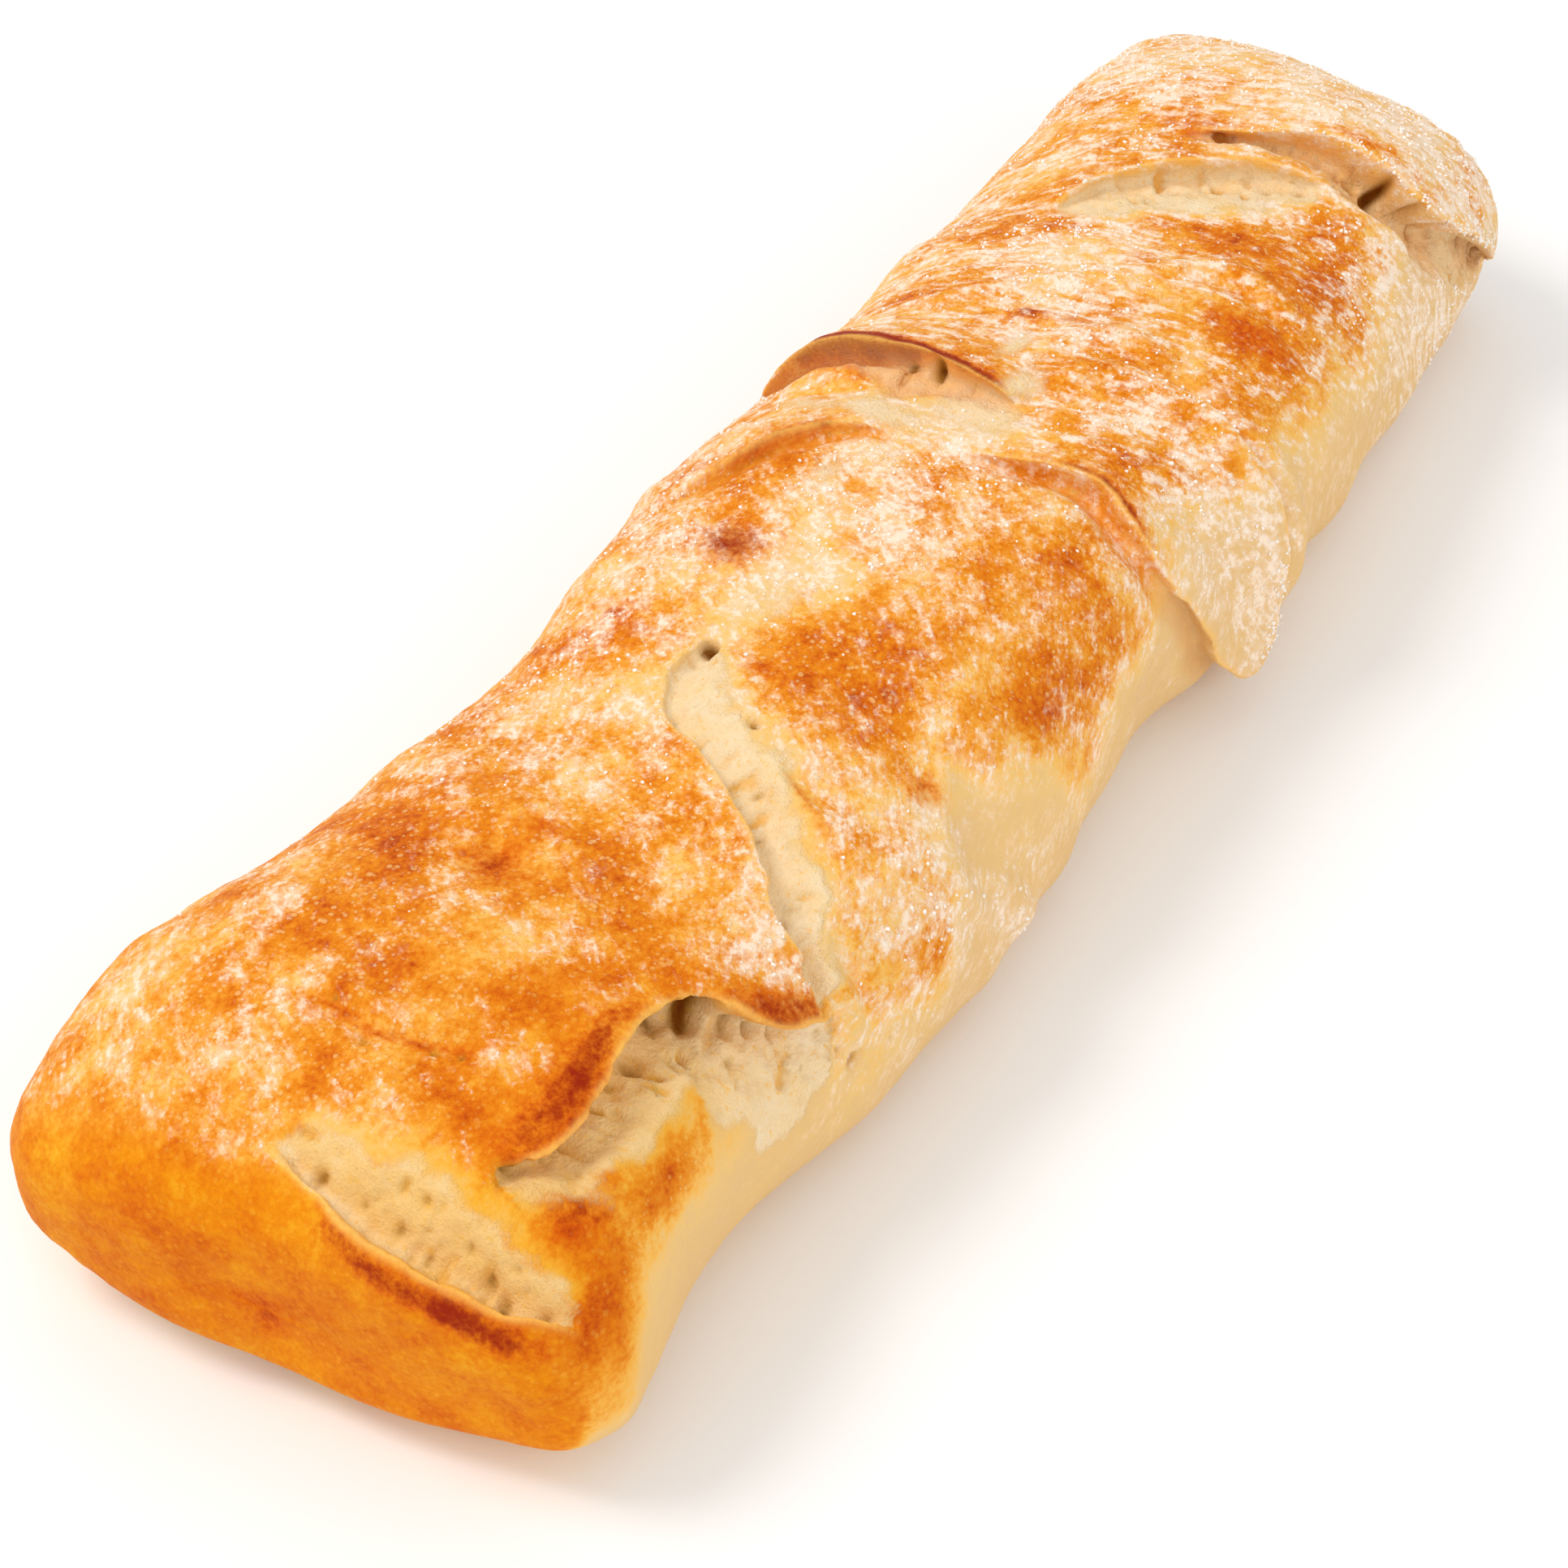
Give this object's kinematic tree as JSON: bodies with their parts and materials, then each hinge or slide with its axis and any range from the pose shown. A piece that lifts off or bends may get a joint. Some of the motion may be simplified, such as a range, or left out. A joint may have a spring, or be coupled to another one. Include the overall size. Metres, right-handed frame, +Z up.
{
  "type": "ciabatta loaf",
  "caption": "Long hand-stretched ciabatta with flour-dusted crust, baked-in twist, torn openings showing pale crumb, a raised flap and a wrapped fold.",
  "frame": {"origin": "centre of the loaf's box at the level of the flat underside it rests on", "axes": "+X along the loaf, from the wider amber end to the floured end; +Z up, through the crown of the crust; +Y to the left, away from the pale long side"},
  "size_m": [0.3693, 0.1066, 0.0627],
  "materials": {
    "crust": "matte golden-brown baked crust with white flour, pale cream on the side and in the tears"
  },
  "bodies": {
    "root": {"loaf": "crust"}
  },
  "joints": []
}
